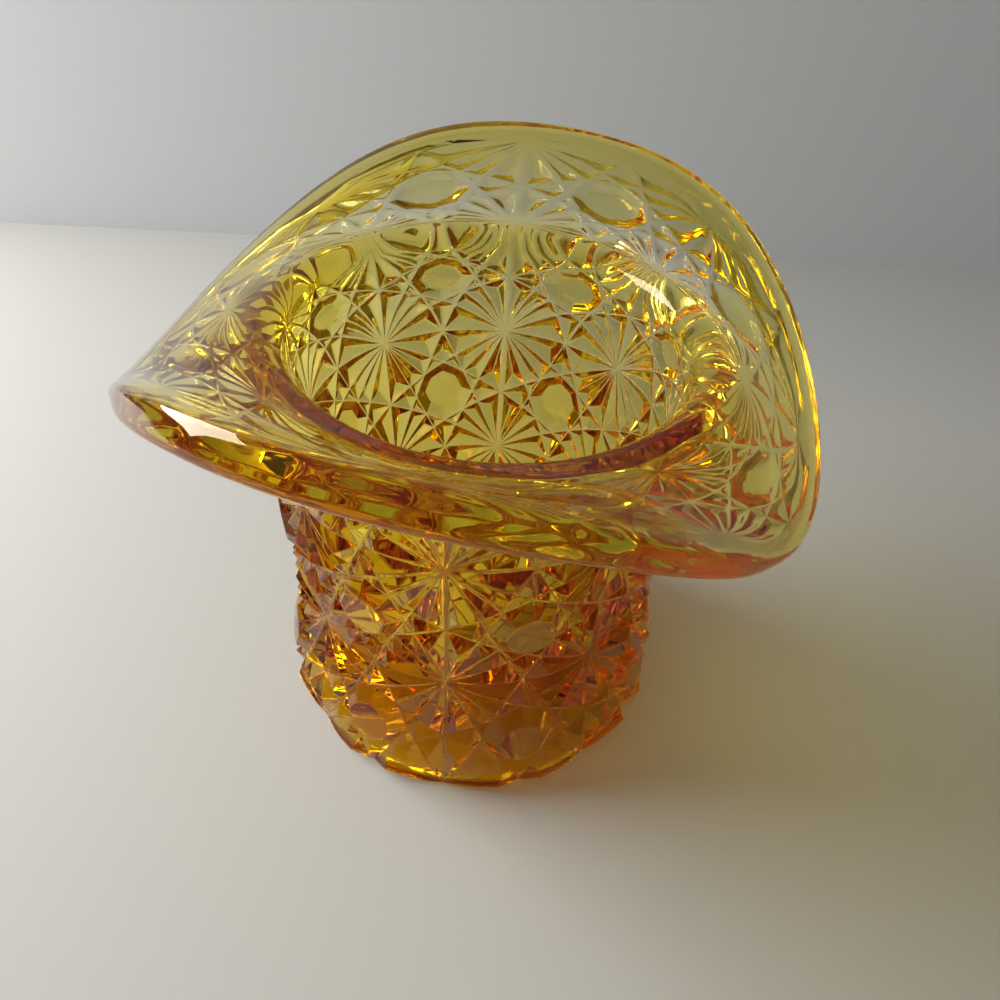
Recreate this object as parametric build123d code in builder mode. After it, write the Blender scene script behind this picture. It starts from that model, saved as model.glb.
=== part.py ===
# A pressed-glass top hat, standing on the flat top of its crown with the brim uppermost.
# The crown carries the traditional daisy-and-button relief in eight columns, which runs
# on under the brim. The brim was curled by hand while the glass was hot: it rises at the
# front and back (Y) and droops at its two tips (X).
# Millimetres, +Z up. The origin is the centre of the flat base.
import os
from functools import cache
from math import cos, hypot, pi, radians, sin, tan

from build123d import *

# crown, measured over the relief
foot_radius = 26.2
ankle_radius = 25.9
ankle_height = 6.3
calf_radius = 24.75
calf_height = 12.6
waist_radius = 24.2
waist_height = 21.0
shoulder_radius = 24.9
shoulder_height = 43.0

# inside of the hat: the bore widens from the floor to the throat, which leans with the brim
floor_thickness = 6.5
floor_corner = 4.0
floor_radius = 17.4
throat_radius = 22.0
throat_shift = (0.7, 0.2)
throat_height = 51.3
throat_lean = -0.8
mouth_rounding = 2.2

# rim of the brim: centre line of the rounded edge
rim_half_thickness = 2.05
rim_reach = 37.2
rim_reach_square = 0.6
rim_reach_shift = (-0.5, 0.35)
rim_reach_three = (-0.5, 0.4)
rim_height = 52.7
rim_curl = 9.5
rim_curl_square = 1.1
rim_lean = (-1.55, 0.6)
rim_twist = 1.2
# slope of the brim at its edge, in degrees: its mean, and how far it swings from tip to side
edge_slope = 2.0
edge_slope_swing = 42.0
# the same for the upper side of the brim where it leaves the mouth
mouth_slope = -3.0
mouth_slope_swing = 18.0

# how far the glass runs straight before and after the bends of the brim
mouth_run_above = 5.0
edge_run_above = 6.0
neck_run_below = 8.0
edge_run_below = 9.0

# relief
columns = 8
pattern_turn = 9.8
row_pitch = 19.6
relief_rows = 4
pattern_end_share = 0.96
relief_depth = 1.4
groove_slope = 40.0
fade_start_share = 0.7
fade_end_share = 0.4

# foot and underside of the base
foot_inset = 0.5
foot_height = 0.8
recess_radius = 20.0
recess_depth = 0.7
star_rays = 16
star_radius = 18.0
star_valley_radius = 7.0
star_depth = 0.9

# the cell of the pattern, as shares of its width and height: daisies stand on its
# corners, small stars half way along its sides and a button in its middle
daisy_share = (0, 0)
small_star_share = (1 / 2, 0)
crossing_share = (2 / 5, 1 / 5)
button_corner_share = (1 / 3, 1 / 3)
button_point_share = (1 / 2, 1 / 4)
kite_centre_share = (1 / 2, 1 / 6)
cell_centre_share = (1 / 2, 1 / 2)

rows_at_shoulder = shoulder_height / row_pitch
# steps in the search for a height on the crown's profile
halvings = 30


def between(start, end, share):
    """Point or number part of the way from start to end."""
    if isinstance(start, tuple):
        return tuple(between(s, e, share) for s, e in zip(start, end))
    return start + (end - start) * share


def bezier(points, share):
    """Point of a Bezier curve of four (radius, height) points."""
    while len(points) > 1:
        points = [between(p, q, share) for p, q in zip(points, points[1:])]
    return points[0]


def rim(azimuth):
    """Centre and slope of the rounded edge at an azimuth."""
    radius = (
        rim_reach
        + rim_reach_square * cos(4 * azimuth)
        + rim_reach_shift[0] * cos(azimuth)
        + rim_reach_shift[1] * sin(azimuth)
        + rim_reach_three[0] * cos(3 * azimuth)
        + rim_reach_three[1] * sin(3 * azimuth)
    )
    height = (
        rim_height
        - rim_curl * cos(2 * azimuth)
        - rim_curl_square * cos(4 * azimuth)
        + rim_lean[0] * cos(azimuth)
        + rim_lean[1] * sin(azimuth)
        + rim_twist * sin(3 * azimuth)
    )
    slope = radians(edge_slope - edge_slope_swing * cos(2 * azimuth))
    return radius, height, slope


def edge_point(azimuth, turn):
    """Point of the rounded edge, turned from straight out by an angle."""
    radius, height, slope = rim(azimuth)
    return (
        radius + rim_half_thickness * cos(slope + turn),
        height + rim_half_thickness * sin(slope + turn),
    )


def moved(point, run, slope):
    """A (radius, height) point moved outward along a slope."""
    return point[0] + run * cos(slope), point[1] + run * sin(slope)


def throat(azimuth):
    """Upper end of the bore."""
    radius = throat_radius + throat_shift[0] * cos(azimuth) + throat_shift[1] * sin(azimuth)
    return radius, throat_height + throat_lean * cos(azimuth)


def mouth_point(azimuth, turn):
    """Point of the rounded mouth, where the bore has turned outward by an angle."""
    radius, height = throat(azimuth)
    return radius + mouth_rounding * (1 - cos(turn)), height + mouth_rounding * sin(turn)


def mouth_turn(azimuth):
    """How far the mouth turns outward from upright, before the brim goes on."""
    return pi / 2 - radians(mouth_slope - mouth_slope_swing * cos(2 * azimuth))


def brim_above(azimuth):
    """Control points of the upper side of the brim, from the mouth to the edge."""
    turn = mouth_turn(azimuth)
    start = mouth_point(azimuth, turn)
    end = edge_point(azimuth, pi / 2)
    slope = rim(azimuth)[2]
    return [start, moved(start, mouth_run_above, pi / 2 - turn), moved(end, -edge_run_above, slope), end]


def brim_below(azimuth):
    """Control points of the lower side of the brim, from the shoulder to the edge."""
    start = (shoulder_radius, shoulder_height)
    end = edge_point(azimuth, -pi / 2)
    slope = rim(azimuth)[2]
    return [start, moved(start, neck_run_below, pi / 2), moved(end, -edge_run_below, slope), end]


with BuildLine(Plane.XZ, mode=Mode.PRIVATE) as crown_line:
    crown_profile = Spline(
        (foot_radius, 0),
        (ankle_radius, ankle_height),
        (calf_radius, calf_height),
        (waist_radius, waist_height),
        (shoulder_radius, shoulder_height),
        tangents=((0, 1), (0, 1)),
    )


@cache
def crown_radius(height):
    """Radius over the relief at a height of the crown, found by halving the profile."""
    low, high = 0.0, 1.0
    for _ in range(halvings):
        middle = (low + high) / 2
        if (crown_profile @ middle).Z < height:
            low = middle
        else:
            high = middle
    return (crown_profile @ low).X


def outside(azimuth, row, depth):
    """Point below the outer surface, at a row of the pattern, as (radius, height)."""
    if row <= rows_at_shoulder:
        height = row * row_pitch
        return crown_radius(height) - depth, height
    share = pattern_end_share * (row - rows_at_shoulder) / (relief_rows - rows_at_shoulder)
    curve = brim_below(azimuth)
    here = bezier(curve, share)
    step = [between(p, q, share) for p, q in zip(curve, curve[1:])]
    step = [between(p, q, share) for p, q in zip(step, step[1:])]
    along = (step[1][0] - step[0][0], step[1][1] - step[0][1])
    length = hypot(*along)
    return here[0] - depth * along[1] / length, here[1] + depth * along[0] / length


def fade(row):
    """How much of the relief is left at a row: the fire softened it towards the rim."""
    share = max(0, row / relief_rows - fade_start_share) / (1 - fade_start_share)
    return between(1, fade_end_share, share)


def turned(point, azimuth):
    """Place a (radius, height) point at an azimuth."""
    return Vector(point[0] * cos(azimuth), point[0] * sin(azimuth), point[1])


def wall_point(column, row, depth):
    """Point of the wall at a place of the pattern, below the surface by a depth."""
    azimuth = radians(pattern_turn) + 2 * pi * column / columns
    return turned(outside(azimuth, row, depth * fade(row)), azimuth)


def ring(place):
    """Closed smooth ring round the hat through place(azimuth), one span to a half column."""
    spans = 2 * columns
    span = 2 * pi / spans
    nudge = span / spans
    points, slopes = [], []
    for n in range(spans + 1):
        azimuth = radians(pattern_turn) + n * span
        before = turned(place(azimuth - nudge), azimuth - nudge)
        after = turned(place(azimuth + nudge), azimuth + nudge)
        points.append(turned(place(azimuth), azimuth))
        slopes.append((after - before) * (span / nudge / 2))
    with BuildLine(mode=Mode.PRIVATE) as line:
        for n in range(spans):
            Bezier(
                points[n],
                points[n] + slopes[n] / 3,
                points[n + 1] - slopes[n + 1] / 3,
                points[n + 1],
            )
    return line.wire()


def relief_ring(row):
    """Border of the relief at a row, from one groove crossing to the next."""
    with BuildLine(mode=Mode.PRIVATE) as line:
        Polyline(*[wall_point(n / 2, row, relief_depth) for n in range(2 * columns)], close=True)
    return line.wire()


def skin_zones():
    """The smooth skin, as rings of one zone after another: rim, brim, mouth, bore, corner."""
    rim_turns = (-60, -22, 15, 52, 90)
    rim_rings = [ring(lambda a, t=turn: edge_point(a, radians(t))) for turn in rim_turns]
    brim_shares = (2 / 3, 1 / 3, 0)
    brim_rings = [ring(lambda a, s=share: bezier(brim_above(a), s)) for share in brim_shares]
    mouth_shares = (1 / 2, 0)
    mouth_rings = [ring(lambda a, s=share: mouth_point(a, s * mouth_turn(a))) for share in mouth_shares]
    corner_rings = []
    for turn in (0, 45, 90):
        corner = (
            floor_radius - floor_corner * (1 - cos(radians(turn))),
            floor_thickness + floor_corner * (1 - sin(radians(turn))),
        )
        corner_rings.append(ring(lambda a, c=corner: c))
    return [
        [relief_ring(relief_rows), rim_rings[0]],
        rim_rings,
        rim_rings[-1:] + brim_rings,
        brim_rings[-1:] + mouth_rings,
        mouth_rings[-1:] + corner_rings[:1],
        corner_rings,
    ]


def incentre(corners):
    """Centre of the circle inside a triangle."""
    sides = []
    for n in range(3):
        p, q = corners[(n + 1) % 3], corners[(n + 2) % 3]
        sides.append(hypot(p[0] - q[0], p[1] - q[1]))
    total = sum(sides)
    return tuple(sum(s * c[k] for s, c in zip(sides, corners)) / total for k in (0, 1))


def distance(point, start, end):
    """Distance of a point from the line through two others."""
    run, climb = end[0] - start[0], end[1] - start[1]
    return abs((point[0] - start[0]) * climb - (point[1] - start[1]) * run) / hypot(run, climb)


def eighth_of_cell():
    """Facets of one eighth of a cell, as triangles of (across, up, height) shares."""
    rise = tan(radians(groove_slope))
    top = relief_depth / row_pitch
    facets = []

    def pyramid(sides, centre):
        height = min(top, rise * min(distance(centre, start, end) for start, end in sides))
        for start, end in sides:
            facets.append([(*start, 0), (*end, 0), (*centre, height)])

    # the petals of the daisy lie between its straight, slanting and diagonal rays
    for petal in (
        (daisy_share, small_star_share, crossing_share),
        (daisy_share, crossing_share, button_corner_share),
        (crossing_share, button_point_share, button_corner_share),
    ):
        pyramid(list(zip(petal, petal[1:] + petal[:1])), incentre(petal))
    # half of the kite between the small star and the button
    kite_sides = [(button_point_share, crossing_share), (crossing_share, small_star_share)]
    pyramid(kite_sides, kite_centre_share)
    # the button: a sloping side up to its flat top
    outer = (button_point_share, button_corner_share)
    flat_share = 1 - top / rise / distance(cell_centre_share, *outer)
    inner = [between(cell_centre_share, corner, flat_share) for corner in outer]
    facets.append([(*outer[0], 0), (*inner[0], top), (*outer[1], 0)])
    facets.append([(*outer[1], 0), (*inner[0], top), (*inner[1], top)])
    facets.append([(*inner[0], top), (*cell_centre_share, top), (*inner[1], top)])
    return facets


def whole_cell():
    """The eighth, repeated by the cell's mirror lines."""
    facets = []
    for corners in eighth_of_cell():
        for swap in (False, True):
            for across in (False, True):
                for up in (False, True):
                    copy = [(y, x, h) if swap else (x, y, h) for x, y, h in corners]
                    copy = [(1 - x if across else x, 1 - y if up else y, h) for x, y, h in copy]
                    facets.append(copy)
    return facets


def triangle(*corners):
    """Flat facet between three points."""
    return Face(Wire.make_polygon(corners, close=True))


def relief_faces():
    """Every facet of the relief, from the base up over the crown and out under the brim."""
    faces = []
    cell = whole_cell()
    for column in range(columns):
        for row in range(relief_rows):
            for facet in cell:
                points = [
                    wall_point(column + x, row + y, relief_depth - height * row_pitch)
                    for x, y, height in facet
                ]
                faces.append(triangle(*points))
    return faces


# the glass is bounded by the relief outside, a smooth skin over the rim and down the
# inside, lofted ring by ring, and flats for the floor and the base
zones = skin_zones()
skin = [face for rings in zones for face in Shell.make_loft(rings).faces()]
glass = Solid(Shell(relief_faces() + skin + [Face(zones[-1][-1]), Face(relief_ring(0))]))

with BuildPart() as glass_hat:
    add(glass)
    # the plain bead round the foot
    with BuildSketch(Plane.XY) as foot:
        Circle(foot_radius - foot_inset)
    extrude(amount=foot_height)
    # the base is hollowed inside its bearing ring
    with BuildSketch(Plane.XY) as recess:
        Circle(recess_radius)
    extrude(amount=recess_depth, mode=Mode.SUBTRACT)
    # a star is pressed into the recess, its V-grooves deepest where they meet
    with BuildSketch(Plane.XY.offset(recess_depth)) as star:
        with BuildLine():
            corners = []
            for n in range(star_rays):
                turn = 360 * n / star_rays + pattern_turn
                corners.append(Vector(star_radius, 0).rotate(Axis.Z, turn))
                corners.append(Vector(star_valley_radius, 0).rotate(Axis.Z, turn + 180 / star_rays))
            Polyline(*corners, close=True)
        make_face()
    loft([star.face(), Vertex(0, 0, recess_depth + star_depth)], mode=Mode.SUBTRACT)

glass_hat.part.label = "glass_hat"
os.makedirs("parts", exist_ok=True)
export_step(glass_hat.part, "parts/glass_hat.step")
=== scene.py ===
"""A pressed-glass top hat in amber, standing on its crown on a pale cloth.

Everything is in metres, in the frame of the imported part: Z up, the origin in the centre
of the base, X along the two drooping tips of the brim.
"""
from functools import cache
from math import copysign, cos, hypot, pi, radians, sin, tan

import bmesh
import bpy
from mathutils import Matrix, Vector


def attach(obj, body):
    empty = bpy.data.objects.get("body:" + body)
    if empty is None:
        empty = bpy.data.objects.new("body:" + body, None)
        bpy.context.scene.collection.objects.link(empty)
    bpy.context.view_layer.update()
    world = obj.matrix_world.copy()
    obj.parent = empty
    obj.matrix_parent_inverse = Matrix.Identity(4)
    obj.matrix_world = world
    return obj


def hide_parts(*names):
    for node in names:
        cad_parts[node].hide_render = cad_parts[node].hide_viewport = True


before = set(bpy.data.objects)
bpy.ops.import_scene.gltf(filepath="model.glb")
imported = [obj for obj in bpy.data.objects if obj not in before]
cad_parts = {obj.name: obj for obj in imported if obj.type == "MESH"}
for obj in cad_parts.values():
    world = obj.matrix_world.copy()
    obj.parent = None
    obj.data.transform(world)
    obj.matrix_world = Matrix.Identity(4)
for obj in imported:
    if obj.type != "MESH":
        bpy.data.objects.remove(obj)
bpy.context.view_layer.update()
mm = 0.001

# The crown of the hat: a waisted wall of pressed glass, 8 mm thick at the floor and 4 mm at
# the shoulder. The mould gave it flat facets between V-grooves outside, and the plunger
# left it smooth inside.
foot_radius = 26.2 * mm
ankle = (25.9 * mm, 6.3 * mm)
calf = (24.75 * mm, 12.6 * mm)
waist = (24.2 * mm, 21.0 * mm)
shoulder = (24.9 * mm, 43.0 * mm)
columns = 8
pattern_turn = radians(9.8)
row_pitch = 19.6 * mm
relief_rows = 4
relief_depth = 1.4 * mm
groove_slope = radians(40)
rows_at_shoulder = shoulder[1] / row_pitch


def between(start, end, share):
    """Point or number part of the way from start to end."""
    if isinstance(start, tuple):
        return tuple(between(s, e, share) for s, e in zip(start, end))
    return start + (end - start) * share


@cache
def crown_radius(height):
    """Radius over the relief at a height: a smooth curve through the crown's sizes."""
    knots = [(foot_radius, 0), ankle, calf, waist, shoulder]
    slopes = [0]
    for before, after in zip(knots, knots[2:]):
        slopes.append((after[0] - before[0]) / (after[1] - before[1]))
    slopes.append(0)
    for n in range(len(knots) - 1):
        (r0, h0), (r1, h1) = knots[n], knots[n + 1]
        if height <= h1 or n == len(knots) - 2:
            step = h1 - h0
            t = (height - h0) / step
            return (
                r0 * (1 + 2 * t) * (1 - t) ** 2
                + slopes[n] * step * t * (1 - t) ** 2
                + r1 * t * t * (3 - 2 * t)
                + slopes[n + 1] * step * t * t * (t - 1)
            )


# The brim: soft glass curled by hand, up at the front and back and down at the two tips.
# The fire rounded its edge and softened the relief below. Azimuths run from the right tip.
rim_reach = 37.2 * mm
rim_reach_square = 0.6 * mm
rim_reach_shift = (-0.5 * mm, 0.35 * mm)
rim_reach_three = (-0.5 * mm, 0.4 * mm)
rim_height = 52.7 * mm
rim_curl = 9.5 * mm
rim_curl_square = 1.1 * mm
rim_lean = (-1.55 * mm, 0.6 * mm)
rim_twist = 1.2 * mm
edge_slope = radians(2)
edge_slope_swing = radians(42)
rim_half_thickness = 1.88 * mm
rim_fullness = 3
rim_reach_share = 0.92
throat_radius = 22.0 * mm
throat_shift = (0.7 * mm, 0.2 * mm)
throat_height = 51.3 * mm
throat_lean = -0.8 * mm
mouth_slope = radians(-8.5)
mouth_slope_swing = radians(12.5)
mouth_slope_tilt = radians(11)
mouth_rounding = 2.2 * mm
mouth_run_above = 5.0 * mm
edge_run_above = 6.0 * mm
neck_run_below = 8.0 * mm
edge_run_below = 9.0 * mm
pattern_end_share = 0.99
fade_start_share = 0.92
fade_end_share = 0.35


def rim(a):
    """Centre line and slope of the rounded edge at an azimuth."""
    radius = (
        rim_reach
        + rim_reach_square * cos(4 * a)
        + rim_reach_shift[0] * cos(a)
        + rim_reach_shift[1] * sin(a)
        + rim_reach_three[0] * cos(3 * a)
        + rim_reach_three[1] * sin(3 * a)
    )
    height = (
        rim_height
        - rim_curl * cos(2 * a)
        - rim_curl_square * cos(4 * a)
        + rim_lean[0] * cos(a)
        + rim_lean[1] * sin(a)
        + rim_twist * sin(3 * a)
    )
    return radius, height, edge_slope - edge_slope_swing * cos(2 * a)


def edge_point(a, turn):
    """Point of the edge, flat with two round corners, turned from straight out by an angle."""
    radius, height, slope = rim(a)
    out = rim_half_thickness * rim_reach_share * abs(cos(turn)) ** (2 / rim_fullness)
    up = copysign(rim_half_thickness * abs(sin(turn)) ** (2 / rim_fullness), turn)
    return radius + out * cos(slope) - up * sin(slope), height + out * sin(slope) + up * cos(slope)


def moved(point, run, slope):
    """A (radius, height) point moved outward along a slope."""
    return point[0] + run * cos(slope), point[1] + run * sin(slope)


def throat(a):
    """Upper end of the bore, which leans with the brim."""
    radius = throat_radius + throat_shift[0] * cos(a) + throat_shift[1] * sin(a)
    return radius, throat_height + throat_lean * cos(a)


def mouth_point(a, turn):
    """Point of the rounded mouth, where the bore has turned outward by an angle."""
    radius, height = throat(a)
    return radius + mouth_rounding * (1 - cos(turn)), height + mouth_rounding * sin(turn)


def mouth_turn(a):
    """How far the mouth turns outward from upright, before the brim goes on."""
    return pi / 2 - (mouth_slope - mouth_slope_swing * cos(2 * a) - mouth_slope_tilt * sin(a))


def brim_above(a):
    """Control points of the upper side of the brim, from the mouth to the edge."""
    turn = mouth_turn(a)
    start = mouth_point(a, turn)
    end = edge_point(a, pi / 2)
    after_start = moved(start, mouth_run_above, pi / 2 - turn)
    return [start, after_start, moved(end, -edge_run_above, rim(a)[2]), end]


def brim_below(a):
    """Control points of the lower side of the brim, from the shoulder to the edge."""
    end = edge_point(a, -pi / 2)
    after_shoulder = moved(shoulder, neck_run_below, pi / 2)
    return [shoulder, after_shoulder, moved(end, -edge_run_below, rim(a)[2]), end]


def bezier(points, share):
    """Point of a Bezier curve of four (radius, height) points."""
    while len(points) > 1:
        points = [between(p, q, share) for p, q in zip(points, points[1:])]
    return points[0]


def outside(a, row, depth):
    """Point below the outer surface, at a row of the pattern, as (radius, height)."""
    if row <= rows_at_shoulder:
        return crown_radius(row * row_pitch) - depth, row * row_pitch
    share = pattern_end_share * (row - rows_at_shoulder) / (relief_rows - rows_at_shoulder)
    curve = brim_below(a)
    here = bezier(curve, share)
    step = [between(p, q, share) for p, q in zip(curve, curve[1:])]
    step = [between(p, q, share) for p, q in zip(step, step[1:])]
    along = (step[1][0] - step[0][0], step[1][1] - step[0][1])
    length = hypot(*along)
    return here[0] - depth * along[1] / length, here[1] + depth * along[0] / length


def turned(point, a):
    """Place of a (radius, height) point at an azimuth."""
    return Vector((point[0] * cos(a), point[0] * sin(a), point[1]))


def wall_point(column, row, depth):
    """Point of the wall at a place of the pattern, below the surface by a depth.

    The mould's two seams stand a little proud, and the relief fades close to the rim.
    """
    a = pattern_turn + 2 * pi * column / columns
    if any(abs(column - seam) < column_match for seam in seam_columns):
        depth -= seam_height
    share = max(0, row / relief_rows - fade_start_share) / (1 - fade_start_share)
    place = outside(a, row, depth * between(1, fade_end_share, share))
    return turned((place[0], max(place[1], foot_height)), a)


# The daisy-and-button relief: a square cell, repeated 8 times round and 4 times up, with
# daisies on its corners, small stars half way along its sides and a button in the middle.
foot_height = 0.3 * mm
seam_columns = (2, 6)
seam_height = 0.15 * mm
column_match = 1e-4
cell_weld_share = 1e-5
flat_angle = radians(1)
corner_share = (0, 0)
small_star_share = (1 / 2, 0)
crossing_share = (2 / 5, 1 / 5)
button_corner_share = (1 / 3, 1 / 3)
button_point_share = (1 / 2, 1 / 4)
kite_centre_share = (1 / 2, 1 / 6)
cell_centre_share = (1 / 2, 1 / 2)


def incentre(corners):
    """Centre of the circle inside a triangle."""
    sides = []
    for n in range(3):
        p, q = corners[(n + 1) % 3], corners[(n + 2) % 3]
        sides.append(hypot(p[0] - q[0], p[1] - q[1]))
    return tuple(sum(s * c[k] for s, c in zip(sides, corners)) / sum(sides) for k in (0, 1))


def distance(point, start, end):
    """Distance of a point from the line through two others."""
    run, climb = end[0] - start[0], end[1] - start[1]
    return abs((point[0] - start[0]) * climb - (point[1] - start[1]) * run) / hypot(run, climb)


def eighth_of_cell():
    """Facets of one eighth of a cell, as triangles of (across, up, height) shares."""
    rise = tan(groove_slope)
    top = relief_depth / row_pitch
    facets = []

    def pyramid(sides, centre):
        height = min(top, rise * min(distance(centre, start, end) for start, end in sides))
        for start, end in sides:
            facets.append([(*start, 0), (*end, 0), (*centre, height)])

    for petal in (
        (corner_share, small_star_share, crossing_share),
        (corner_share, crossing_share, button_corner_share),
        (crossing_share, button_point_share, button_corner_share),
    ):
        pyramid(list(zip(petal, petal[1:] + petal[:1])), incentre(petal))
    kite_sides = [(button_point_share, crossing_share), (crossing_share, small_star_share)]
    pyramid(kite_sides, kite_centre_share)
    outer = (button_point_share, button_corner_share)
    flat_share = 1 - top / rise / distance(cell_centre_share, *outer)
    inner = [between(cell_centre_share, corner, flat_share) for corner in outer]
    facets.append([(*outer[0], 0), (*inner[0], top), (*outer[1], 0)])
    facets.append([(*outer[1], 0), (*inner[0], top), (*inner[1], top)])
    facets.append([(*inner[0], top), (*cell_centre_share, top), (*inner[1], top)])
    return facets


def cell_mesh(softness):
    """One cell with its ridges and grooves rounded over a width, as points and faces."""
    mesh = bmesh.new()
    for corners in eighth_of_cell():
        for swap in (False, True):
            for across in (False, True):
                for up in (False, True):
                    copy = [(y, x, h) if swap else (x, y, h) for x, y, h in corners]
                    copy = [(1 - x if across else x, 1 - y if up else y, h) for x, y, h in copy]
                    if swap ^ across ^ up:
                        copy.reverse()
                    mesh.faces.new([mesh.verts.new(point) for point in copy])
    bmesh.ops.remove_doubles(mesh, verts=mesh.verts, dist=cell_weld_share)
    bmesh.ops.dissolve_limit(
        mesh,
        angle_limit=flat_angle,
        use_dissolve_boundaries=False,
        verts=mesh.verts,
        edges=mesh.edges,
    )
    borders = set(mesh.verts)
    width = softness / row_pitch
    bmesh.ops.inset_individual(mesh, faces=mesh.faces, thickness=width, use_even_offset=True)
    along = [e for e in mesh.edges if (e.verts[0] in borders) == (e.verts[1] in borders)]
    bmesh.ops.subdivide_edges(mesh, edges=along, cuts=facet_cuts, use_grid_fill=True)
    bmesh.ops.triangulate(mesh, faces=[f for f in mesh.faces if len(f.verts) > 4])
    mesh.verts.index_update()
    points = [tuple(v.co) for v in mesh.verts]
    faces = [[v.index for v in f.verts] for f in mesh.faces]
    mesh.free()
    return points, faces


# how wide the fire rounded each row's ridges, and the rows above which it melted them more
edge_softness = (0.16 * mm, 0.16 * mm, 0.32 * mm, 0.5 * mm)
melted_rows = (2.7, 2.9, 3.1, 3.4)
melting = 0.5
facet_cuts = 2
ring_steps = 4 * (facet_cuts + 1) * 2 * columns
points_of_hat = []
faces_of_hat = []


def ring(place):
    """Adds a smooth ring of points through place(azimuth) and returns their numbers."""
    first = len(points_of_hat)
    for n in range(ring_steps):
        a = pattern_turn + 2 * pi * n / ring_steps
        points_of_hat.append(turned(place(a), a))
    return list(range(first, first + ring_steps))


def band(lower, upper):
    """Adds faces between two rings, where the upper has as many points or more."""
    ratio = len(upper) // len(lower)
    for n in range(len(upper)):
        here, after = n // ratio, (n + 1) // ratio
        corners = [lower[here], lower[after % len(lower)], upper[(n + 1) % len(upper)], upper[n]]
        faces_of_hat.append([c for k, c in enumerate(corners) if c not in corners[:k]])


row_of_point = {}
for row in range(relief_rows):
    cell_points, cell_faces = cell_mesh(edge_softness[row])
    for column in range(columns):
        first = len(points_of_hat)
        for across, up, height in cell_points:
            row_of_point[len(points_of_hat)] = row + up
            depth = relief_depth - height * row_pitch
            points_of_hat.append(wall_point(column + across, row + up, depth))
        faces_of_hat.extend([first + n for n in face] for face in cell_faces)


def pattern_ring(row):
    """Adds the border of the relief at a row again, to be welded, and returns its numbers."""
    first = len(points_of_hat)
    count = 2 * columns * (facet_cuts + 1)
    for n in range(count):
        points_of_hat.append(wall_point(n * columns / count, row, relief_depth))
    return list(range(first, first + count))


# The smooth skin: over the fire-polished rim, down the inside that the plunger left, and
# across the floor, in rings that are closer together where it bends.
floor_thickness = 6.5 * mm
floor_corner = 4.0 * mm
floor_radius = 17.4 * mm
corner_height = floor_thickness + floor_corner
corner_top = (floor_radius, corner_height)
brim_steps = 20
mouth_steps = 8
bore_steps = 8
last = pattern_ring(relief_rows)
skin = [lambda a, t=turn: edge_point(a, radians(t)) for turn in range(-80, 90, 10)]
skin += [
    lambda a, s=step / brim_steps: bezier(brim_above(a), s) for step in range(brim_steps, -1, -1)
]
skin += [
    lambda a, s=step / mouth_steps: mouth_point(a, s * mouth_turn(a))
    for step in range(mouth_steps - 1, -1, -1)
]
skin += [
    lambda a, s=step / bore_steps: between(throat(a), corner_top, s)
    for step in range(1, bore_steps + 1)
]
for turn in range(15, 105, 15):
    corner = (
        floor_radius - floor_corner * (1 - cos(radians(turn))),
        corner_height - floor_corner * sin(radians(turn)),
    )
    skin.append(lambda a, c=corner: c)
for place in skin:
    here = ring(place)
    band(last, here)
    last = here
faces_of_hat.append(last)

# The foot: a plain bead that the hat stands on, round a shallow recess with a star of
# V-grooves, pressed by the bottom of the mould.
foot_inset = 1.5 * mm
foot_rounding = 0.3 * mm
recess_radius = 20.0 * mm
recess_depth = 0.7 * mm
star_radius = 18.0 * mm
star_valley_radius = 7.0 * mm
star_depth = 0.9 * mm
star_rays = 16
last = pattern_ring(0)
bead = foot_radius - foot_inset
profile = [
    (bead, foot_height / 2),
    (bead - foot_rounding, 0),
    (recess_radius + foot_rounding, 0),
    (recess_radius, foot_rounding),
    (recess_radius, recess_depth),
]
for corner in profile:
    here = ring(lambda a, c=corner: c)
    if len(last) < len(here):
        first_band = len(faces_of_hat)
        band(last, here)
        for face in faces_of_hat[first_band:]:
            face.reverse()
    else:
        for n in range(ring_steps):
            after = (n + 1) % ring_steps
            faces_of_hat.append([last[after], last[n], here[n], here[after]])
    last = here
centre = len(points_of_hat)
points_of_hat.append(Vector((0, 0, recess_depth + star_depth)))
star = []
for n in range(2 * star_rays):
    radius = star_valley_radius if n % 2 else star_radius
    star.append(len(points_of_hat))
    points_of_hat.append(turned((radius, recess_depth), pattern_turn + pi * n / star_rays))
for n, here in enumerate(star):
    after = star[(n + 1) % len(star)]
    faces_of_hat.append([centre, after, here])
steps_per_point = ring_steps // len(star)
for n, here in enumerate(star):
    arc = [last[(n * steps_per_point + k) % ring_steps] for k in range(steps_per_point + 1)]
    for start, end in zip(arc, arc[1:]):
        faces_of_hat.append([end, start, here])
    faces_of_hat.append([arc[-1], here, star[(n + 1) % len(star)]])

# All of it is one piece of glass, so relief, skin and foot are welded into one closed mesh.
weld_distance = 0.0005 * mm
mesh = bpy.data.meshes.new("pressed_glass_hat")
mesh.from_pydata(points_of_hat, [], faces_of_hat)
rows = mesh.attributes.new("row", "FLOAT", "POINT")
rows.data.foreach_set("value", [row_of_point.get(n, 0) for n in range(len(points_of_hat))])
welded = bmesh.new()
welded.from_mesh(mesh)
bmesh.ops.remove_doubles(welded, verts=welded.verts, dist=weld_distance)
bmesh.ops.recalc_face_normals(welded, faces=welded.faces)
row_of = welded.verts.layers.float["row"]
for melted_row in melted_rows:
    soft = [v for v in welded.verts if v[row_of] > melted_row]
    bmesh.ops.smooth_vert(
        welded, verts=soft, factor=melting, use_axis_x=True, use_axis_y=True, use_axis_z=True
    )
welded.to_mesh(mesh)
welded.free()
mesh.shade_smooth()
hat = bpy.data.objects.new("pressed_glass_hat", mesh)
bpy.context.scene.collection.objects.link(hat)


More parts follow.
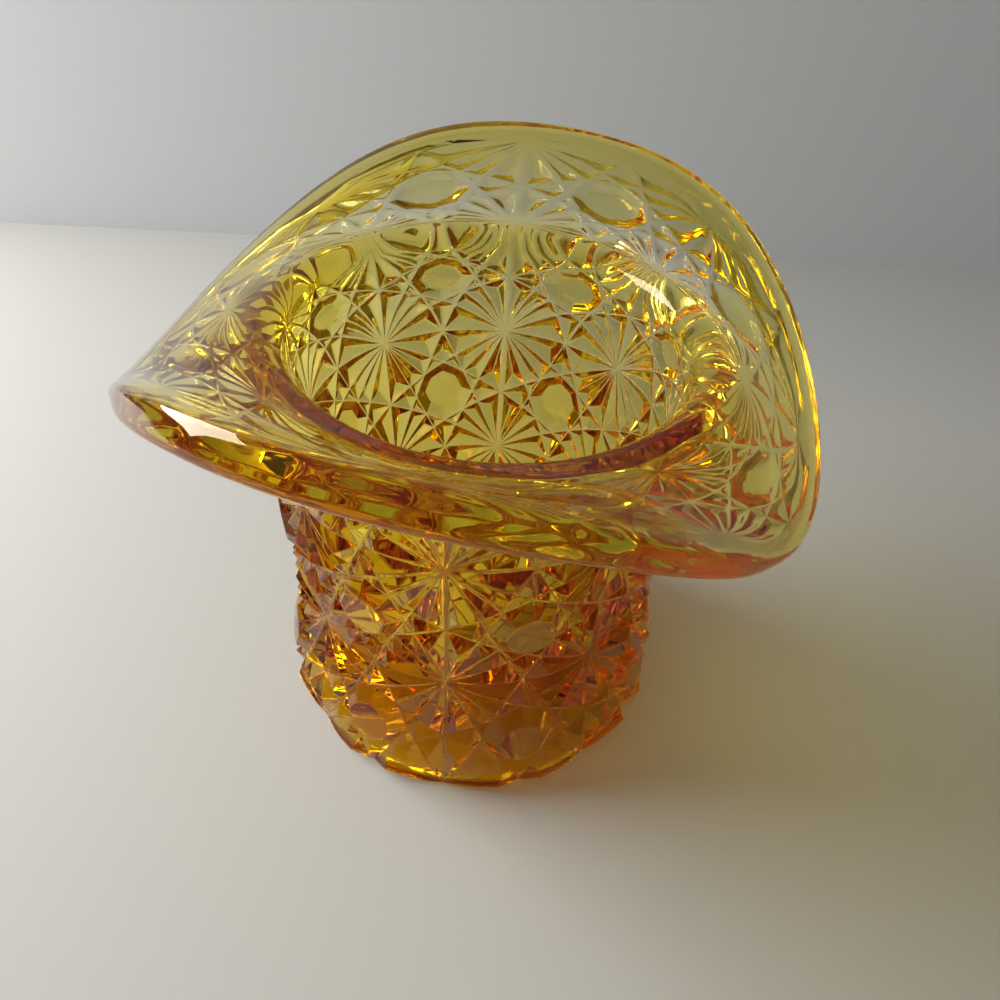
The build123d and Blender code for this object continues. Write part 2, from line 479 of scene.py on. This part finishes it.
def linear(hex_colour):
    """Linear RGBA of an sRGB colour written as six hex digits."""
    channels = [int(hex_colour[n : n + 2], 16) / 255 for n in (0, 2, 4)]
    return (*[c / 12.92 if c <= 0.04045 else ((c + 0.055) / 1.055) ** 2.4 for c in channels], 1)


def add_node(tree, kind, inputs=(), **settings):
    """Adds a shader node with its settings, and links or sets its inputs."""
    node = tree.nodes.new(kind)
    for name, value in settings.items():
        setattr(node, name, value)
    for name, value in dict(inputs).items():
        if isinstance(value, bpy.types.NodeSocket):
            tree.links.new(value, node.inputs[name])
        else:
            node.inputs[name].default_value = value
    return node


def new_material(name):
    """An empty node material and its tree."""
    material = bpy.data.materials.new(name)
    material.use_nodes = True
    material.node_tree.nodes.clear()
    return material, material.node_tree


# Amber soda-lime glass, pressed and fire-polished. It takes up blue first, so it is straw
# where it is thin, gold in the crown and orange brown along its thick rim. The fire left
# broad, faint ripples.
amber_absorption = 380
ripple_width = 6.25 * mm
ripple_height = 0.15 * mm
ripple_strength = 0.25
amber, tree = new_material("amber_glass")
ripple = add_node(
    tree,
    "ShaderNodeTexNoise",
    {
        "Scale": 1 / ripple_width,
        "Detail": 1,
        "Vector": add_node(tree, "ShaderNodeTexCoord").outputs["Object"],
    },
)
bump = add_node(
    tree,
    "ShaderNodeBump",
    {"Strength": ripple_strength, "Distance": ripple_height, "Height": ripple.outputs["Fac"]},
)
glass = add_node(
    tree,
    "ShaderNodeBsdfPrincipled",
    {
        "Base Color": linear("F8F8F8"),
        "Transmission Weight": 1,
        "IOR": 1.52,
        "Roughness": 0.02,
        "Specular Tint": linear("F2E2B8"),
        "Normal": bump.outputs["Normal"],
    },
)
# light passes straight through for shadows, so that the glass throws a warm glow
tint = add_node(tree, "ShaderNodeBsdfTransparent", {"Color": linear("CCCCE4")})
shadow_ray = add_node(tree, "ShaderNodeLightPath")
surface = add_node(tree, "ShaderNodeMixShader", {"Fac": shadow_ray.outputs["Is Shadow Ray"]})
tree.links.new(glass.outputs["BSDF"], surface.inputs[1])
tree.links.new(tint.outputs["BSDF"], surface.inputs[2])
depth = add_node(
    tree, "ShaderNodeVolumeAbsorption", {"Color": linear("FAEF00"), "Density": amber_absorption}
)
add_node(
    tree,
    "ShaderNodeOutputMaterial",
    {"Surface": surface.outputs["Shader"], "Volume": depth.outputs["Volume"]},
)
mesh.materials.append(amber)
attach(hat, "root")
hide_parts("glass_hat")

# The plain pale cloth that the hat stands on and the plain grey wall behind it, both matt.
# The cloth lies a hair below the base, because two surfaces in one plane show dark rings.
cloth_drop = 0.1 * mm
cloth_left = Vector((-0.1671, 0.0899, -cloth_drop))
cloth_right = Vector((0.0984, 0.170, -cloth_drop))
stage_reach = 3
wall_height = 1.2
wall_overhang = 0.06
matt_roughness = 0.9


def plane(name, corners, colour):
    """A flat four-cornered piece of the stage in one plain matt colour."""
    sheet = bpy.data.meshes.new(name)
    sheet.from_pydata(corners, [], [(0, 1, 2, 3)])
    material, plain = new_material(name)
    look = {"Base Color": linear(colour), "Roughness": matt_roughness}
    matt = add_node(plain, "ShaderNodeBsdfPrincipled", look)
    add_node(plain, "ShaderNodeOutputMaterial", {"Surface": matt.outputs["BSDF"]})
    sheet.materials.append(material)
    piece = bpy.data.objects.new(name, sheet)
    bpy.context.scene.collection.objects.link(piece)


along_wall = (cloth_right - cloth_left).normalized()
off_wall = Vector((along_wall.y, -along_wall.x, 0))
wall_middle = (cloth_left + cloth_right) / 2
floor_ends = [wall_middle - along_wall * stage_reach, wall_middle + along_wall * stage_reach]
front = [end + off_wall * stage_reach for end in floor_ends]
wall_ends = [cloth_left - along_wall * wall_overhang, floor_ends[1]]
up = Vector((0, 0, wall_height))
plane("pale_cloth", [front[0], front[1], floor_ends[1], floor_ends[0]], "B8B6B0")
plane("grey_wall", [wall_ends[0], wall_ends[1], wall_ends[1] + up, wall_ends[0] + up], "ECEEF0")


def softbox(name, place, target, size, power):
    """A rectangular soft white light aimed at a point."""
    light = bpy.data.lights.new(name, "AREA")
    light.shape = "RECTANGLE"
    light.size, light.size_y = size
    light.energy = power
    lamp = bpy.data.objects.new(name, light)
    lamp.location = place
    lamp.rotation_euler = (Vector(target) - Vector(place)).to_track_quat("-Z", "Y").to_euler()
    bpy.context.scene.collection.objects.link(lamp)


# Daylight from a window at the left, and a faint glow from the ceiling that fills the rest.
window_place = (-0.36, 0.03, 0.25)
window_target = (0, 0, 0.03)
window_size = (0.36, 0.24)
window_power = 3.9
room_glow = 0.12
ceiling_glow = 0.45
ceiling_edge = 0.3
softbox("window", window_place, window_target, window_size, window_power)
world = bpy.data.worlds.new("studio")
bpy.context.scene.world = world
world.use_nodes = True
sky = world.node_tree.nodes["Background"]
sky.inputs["Color"].default_value = linear("D8DADC")
direction = add_node(
    world.node_tree,
    "ShaderNodeSeparateXYZ",
    {"Vector": add_node(world.node_tree, "ShaderNodeTexCoord").outputs["Generated"]},
)
ceiling = add_node(
    world.node_tree,
    "ShaderNodeMapRange",
    {
        "Value": direction.outputs["Z"],
        "From Min": ceiling_edge,
        "From Max": 1,
        "To Min": room_glow,
        "To Max": ceiling_glow,
    },
)
world.node_tree.links.new(ceiling.outputs["Result"], sky.inputs["Strength"])

# Light crosses the many facets of pressed glass often before it leaves again.
light_paths = bpy.context.scene.cycles
light_paths.max_bounces = 32
light_paths.glossy_bounces = 24
light_paths.transmission_bounces = 32

# The camera stands where the photograph was taken from.
lens = 28.8
camera_place = (22.56 * mm, -73.23 * mm, 97.30 * mm)
camera_tilt = radians(47.717)
camera_turn = radians(14.988)
camera_roll = radians(3.657)
eye = bpy.data.cameras.new("camera")
eye.sensor_width = 36
eye.lens = lens
eye.clip_start = 0.005
camera = bpy.data.objects.new("camera", eye)
aim = Matrix.Rotation(camera_turn, 4, "Z") @ Matrix.Rotation(camera_tilt, 4, "X")
aim = aim @ Matrix.Rotation(camera_roll, 4, "Z")
camera.matrix_world = Matrix.Translation(camera_place) @ aim
bpy.context.scene.collection.objects.link(camera)
bpy.context.scene.camera = camera
bpy.context.scene.view_settings.view_transform = "Standard"
